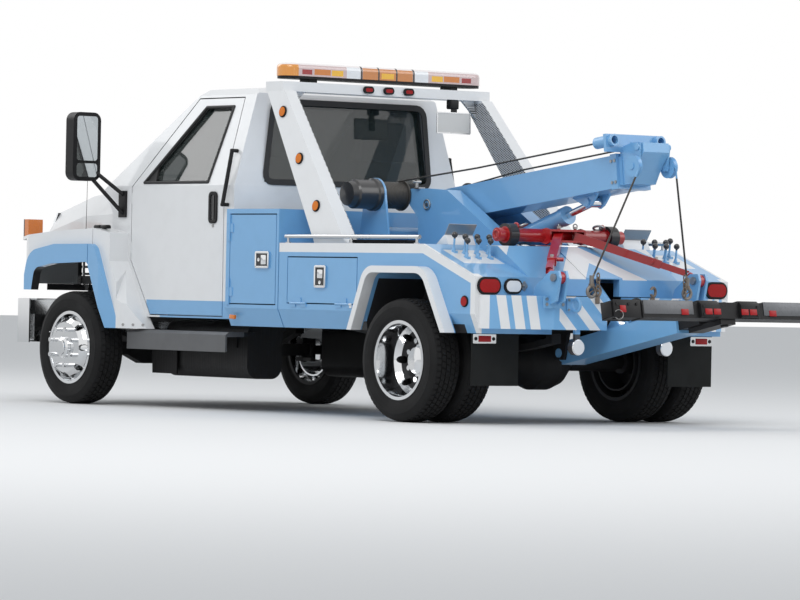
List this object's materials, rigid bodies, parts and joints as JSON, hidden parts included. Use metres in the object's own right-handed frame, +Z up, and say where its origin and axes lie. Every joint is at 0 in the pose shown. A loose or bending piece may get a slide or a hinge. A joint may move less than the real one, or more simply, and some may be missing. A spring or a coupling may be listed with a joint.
{
  "type": "medium-duty tow truck",
  "caption": "Medium-duty tow truck, white cab over a blue body, with an extending boom, winches, a tow bar and an extending underlift.",
  "frame": {"origin": "on the ground, at the middle of the overall length and width, under the stowed truck", "axes": "+X forward towards the front bumper, +Y to the truck's left, +Z up"},
  "size_m": [6.73, 2.716, 2.4169],
  "materials": {
    "body_white": "gloss",
    "cabinet_blue": "gloss",
    "pylon_white": "gloss",
    "body_blue": "gloss",
    "tail_blue": "gloss",
    "mast_blue": "gloss",
    "boom_blue": "gloss",
    "stinger_blue": "gloss",
    "cylinder_blue": "gloss",
    "lever_blue": "gloss",
    "tow_red": "gloss",
    "chassis_black": "satin",
    "boom_inner_blue": "gloss",
    "stinger_black": "satin",
    "winch_black": "satin",
    "bar_black": "matte",
    "cast_grey": "matte",
    "bright_chrome": "polished",
    "grille_chrome": "polished",
    "rod_chrome": "polished",
    "stainless": "brushed",
    "wheel_metal": "polished",
    "rope_steel": "satin",
    "drum_steel": "satin",
    "step_grey": "brushed",
    "dark_trim": "matte",
    "mirror_black": "satin",
    "flap_rubber": "matte",
    "tyre_rubber": "matte",
    "clear_glass": "gloss",
    "headlamp_clear": "gloss",
    "bar_lens": "gloss",
    "lamp_lens": "gloss"
  },
  "bodies": {
    "chassis": {"frame": "chassis_black", "front_axle": "chassis_black", "rear_axle": "chassis_black", "engine_and_driveline": "cast_grey", "front_bumper": "bright_chrome", "cab_shell": "body_white", "cab_glass": "clear_glass", "cab_interior": "dark_trim", "mirrors": "mirror_black", "cab_steps": "step_grey", "tool_cabinet": "cabinet_blue", "wrecker_body": "body_blue", "tail_bumper": "tail_blue", "mudflaps": "flap_rubber", "pylon": "pylon_white", "lightbar_base": "bar_black", "lightbar_lens": "bar_lens", "body_lamps": "lamp_lens", "deck_rails": "stainless", "control_levers": "lever_blue", "mast": "mast_blue", "winches": "winch_black", "tow_bar": "tow_red", "slot_cover": "body_blue"},
    "hood": {"hood_shell": "body_white", "hood_grille": "grille_chrome", "hood_lamps": "headlamp_clear"},
    "steering_wheel": {"steering_wheel": "dark_trim"},
    "boom": {"boom_outer": "boom_blue"},
    "boom_extension": {"boom_inner": "boom_inner_blue"},
    "boom_cylinder": {"lift_barrel": "cylinder_blue"},
    "boom_cylinder_rod": {"lift_rod": "rod_chrome"},
    "underlift": {"stinger_outer": "stinger_blue"},
    "underlift_extension": {"stinger_inner": "stinger_black"},
    "crossbar": {"crossbar": "stinger_black"},
    "underlift_cylinder": {"under_barrel": "cylinder_blue"},
    "underlift_cylinder_rod": {"under_rod": "rod_chrome"},
    "knuckle_left": {"knuckle_left": "chassis_black"},
    "front_wheel_left": {"tyre_front_left": "tyre_rubber", "rim_front_left": "wheel_metal"},
    "rear_wheel_left": {"tyre_rear_left": "tyre_rubber", "rim_rear_left": "wheel_metal"},
    "door_left": {"door_left": "body_white", "door_glass_left": "clear_glass"},
    "tall_door_left": {"tall_door_left": "cabinet_blue"},
    "side_door_left": {"side_door_left": "body_blue"},
    "line_left": {"line_left": "rope_steel"},
    "drum_left": {"winch_drum_left": "drum_steel"},
    "knuckle_right": {"knuckle_right": "chassis_black"},
    "front_wheel_right": {"tyre_front_right": "tyre_rubber", "rim_front_right": "wheel_metal"},
    "rear_wheel_right": {"tyre_rear_right": "tyre_rubber", "rim_rear_right": "wheel_metal"},
    "door_right": {"door_right": "body_white", "door_glass_right": "clear_glass"},
    "tall_door_right": {"tall_door_right": "cabinet_blue"},
    "side_door_right": {"side_door_right": "body_blue"},
    "line_right": {"line_right": "rope_steel"},
    "drum_right": {"winch_drum_right": "drum_steel"}
  },
  "joints": [
    {"name": "steer_left", "type": "hinge", "parent": "chassis", "child": "knuckle_left", "pos_m": [2.415, 0.93, 0.4055], "axis": [0, 0, 1], "range_deg": [-35, 35]},
    {"name": "steer_right", "type": "hinge", "parent": "chassis", "child": "knuckle_right", "pos_m": [2.415, -0.93, 0.4055], "axis": [0, 0, 1], "range_deg": [-35, 35]},
    {"name": "steering_wheel_turn", "type": "hinge", "parent": "chassis", "child": "steering_wheel", "pos_m": [1.55, 0.44, 1.415], "axis": [-0.8265, 0, 0.563], "range_deg": [-545, 545]},
    {"name": "front_wheel_spin_left", "type": "hinge", "parent": "knuckle_left", "child": "front_wheel_left", "pos_m": [2.415, 1.076, 0.4055], "axis": [0, 1, 0], "continuous": true},
    {"name": "front_wheel_spin_right", "type": "hinge", "parent": "knuckle_right", "child": "front_wheel_right", "pos_m": [2.415, -1.076, 0.4055], "axis": [0, 1, 0], "continuous": true},
    {"name": "rear_wheel_spin_left", "type": "hinge", "parent": "chassis", "child": "rear_wheel_left", "pos_m": [-1.446, 0.932, 0.4055], "axis": [0, 1, 0], "continuous": true},
    {"name": "rear_wheel_spin_right", "type": "hinge", "parent": "chassis", "child": "rear_wheel_right", "pos_m": [-1.446, -0.932, 0.4055], "axis": [0, 1, 0], "continuous": true},
    {"name": "door_swing_left", "type": "hinge", "parent": "chassis", "child": "door_left", "pos_m": [1.9365, 0.98, 1.2], "axis": [0, 0, -1], "range_deg": [0, 65]},
    {"name": "door_swing_right", "type": "hinge", "parent": "chassis", "child": "door_right", "pos_m": [1.9365, -0.98, 1.2], "axis": [0, 0, 1], "range_deg": [0, 65]},
    {"name": "hood_tilt", "type": "hinge", "parent": "chassis", "child": "hood", "pos_m": [3.287, 0, 0.792], "axis": [0, 1, 0], "range_deg": [0, 75]},
    {"name": "tall_door_swing_left", "type": "hinge", "parent": "chassis", "child": "tall_door_left", "pos_m": [0.58, 1.096, 1.05], "axis": [0, 0, -1], "range_deg": [0, 95]},
    {"name": "tall_door_swing_right", "type": "hinge", "parent": "chassis", "child": "tall_door_right", "pos_m": [0.58, -1.096, 1.05], "axis": [0, 0, 1], "range_deg": [0, 95]},
    {"name": "side_door_drop_left", "type": "hinge", "parent": "chassis", "child": "side_door_left", "pos_m": [-0.48, 1.096, 0.762], "axis": [-1, 0, 0], "range_deg": [0, 90]},
    {"name": "side_door_drop_right", "type": "hinge", "parent": "chassis", "child": "side_door_right", "pos_m": [-0.48, -1.096, 0.762], "axis": [1, 0, 0], "range_deg": [0, 90]},
    {"name": "boom_lift", "type": "hinge", "parent": "chassis", "child": "boom", "pos_m": [-0.585, 0, 1.45], "axis": [0, 1, 0], "range_deg": [0, 38]},
    {"name": "boom_extend", "type": "slide", "parent": "boom", "child": "boom_extension", "axis": [-0.9928, 0, 0.1201], "range_m": [0, 1.2]},
    {"name": "line_hang_left", "type": "hinge", "parent": "boom_extension", "child": "line_left", "pos_m": [-2.58519, 0.124, 1.82703], "axis": [0, 1, 0], "range_deg": [-38, 0]},
    {"name": "line_hang_right", "type": "hinge", "parent": "boom_extension", "child": "line_right", "pos_m": [-2.58519, -0.124, 1.82703], "axis": [0, 1, 0], "range_deg": [-38, 0]},
    {"name": "boom_cylinder_swing", "type": "hinge", "parent": "chassis", "child": "boom_cylinder", "pos_m": [-0.935, 0, 1.13], "axis": [0, 1, 0], "range_deg": [0, 40.56]},
    {"name": "boom_cylinder_stroke", "type": "slide", "parent": "boom_cylinder", "child": "boom_cylinder_rod", "axis": [-0.9534, 0, 0.3018], "range_m": [0, 0.3053]},
    {"name": "underlift_tilt", "type": "hinge", "parent": "chassis", "child": "underlift", "pos_m": [-1.835, 0, 0.47], "axis": [0, 1, 0], "range_deg": [-21, 0]},
    {"name": "underlift_extend", "type": "slide", "parent": "underlift", "child": "underlift_extension", "axis": [-0.9803, 0, 0.1977], "range_m": [0, 0.75]},
    {"name": "crossbar_pivot", "type": "hinge", "parent": "underlift_extension", "child": "crossbar", "pos_m": [-3.30071, 0, 0.76554], "axis": [0.1977, 0, 0.9803], "range_deg": [-40, 40]},
    {"name": "underlift_cylinder_swing", "type": "hinge", "parent": "chassis", "child": "underlift_cylinder", "pos_m": [-1.965, 0, 0.96], "axis": [0, 1, 0], "range_deg": [-10.07, 0]},
    {"name": "underlift_cylinder_stroke", "type": "slide", "parent": "underlift_cylinder", "child": "underlift_cylinder_rod", "axis": [-0.7387, 0, -0.6741], "range_m": [0, 0.1576]},
    {"name": "winch_turn_left", "type": "hinge", "parent": "chassis", "child": "drum_left", "pos_m": [-0.305, 0.35, 1.512], "axis": [0, 1, 0], "continuous": true},
    {"name": "winch_turn_right", "type": "hinge", "parent": "chassis", "child": "drum_right", "pos_m": [-0.305, -0.35, 1.512], "axis": [0, 1, 0], "continuous": true}
  ],
  "couplings": [
    {"joint": "steer_right", "follows": "steer_left", "ratio": 1},
    {"joint": "steering_wheel_turn", "follows": "steer_left", "ratio": 15.43},
    {"joint": "boom_cylinder_swing", "follows": "boom_lift", "ratio": 1.0621},
    {"joint": "boom_cylinder_stroke", "follows": "boom_lift", "m_per_rad": 0.45887},
    {"joint": "line_hang_left", "follows": "boom_lift", "ratio": -1},
    {"joint": "line_hang_right", "follows": "boom_lift", "ratio": -1},
    {"joint": "underlift_cylinder_swing", "follows": "underlift_tilt", "ratio": 0.47024},
    {"joint": "underlift_cylinder_stroke", "follows": "underlift_tilt", "m_per_rad": -0.42737}
  ]
}
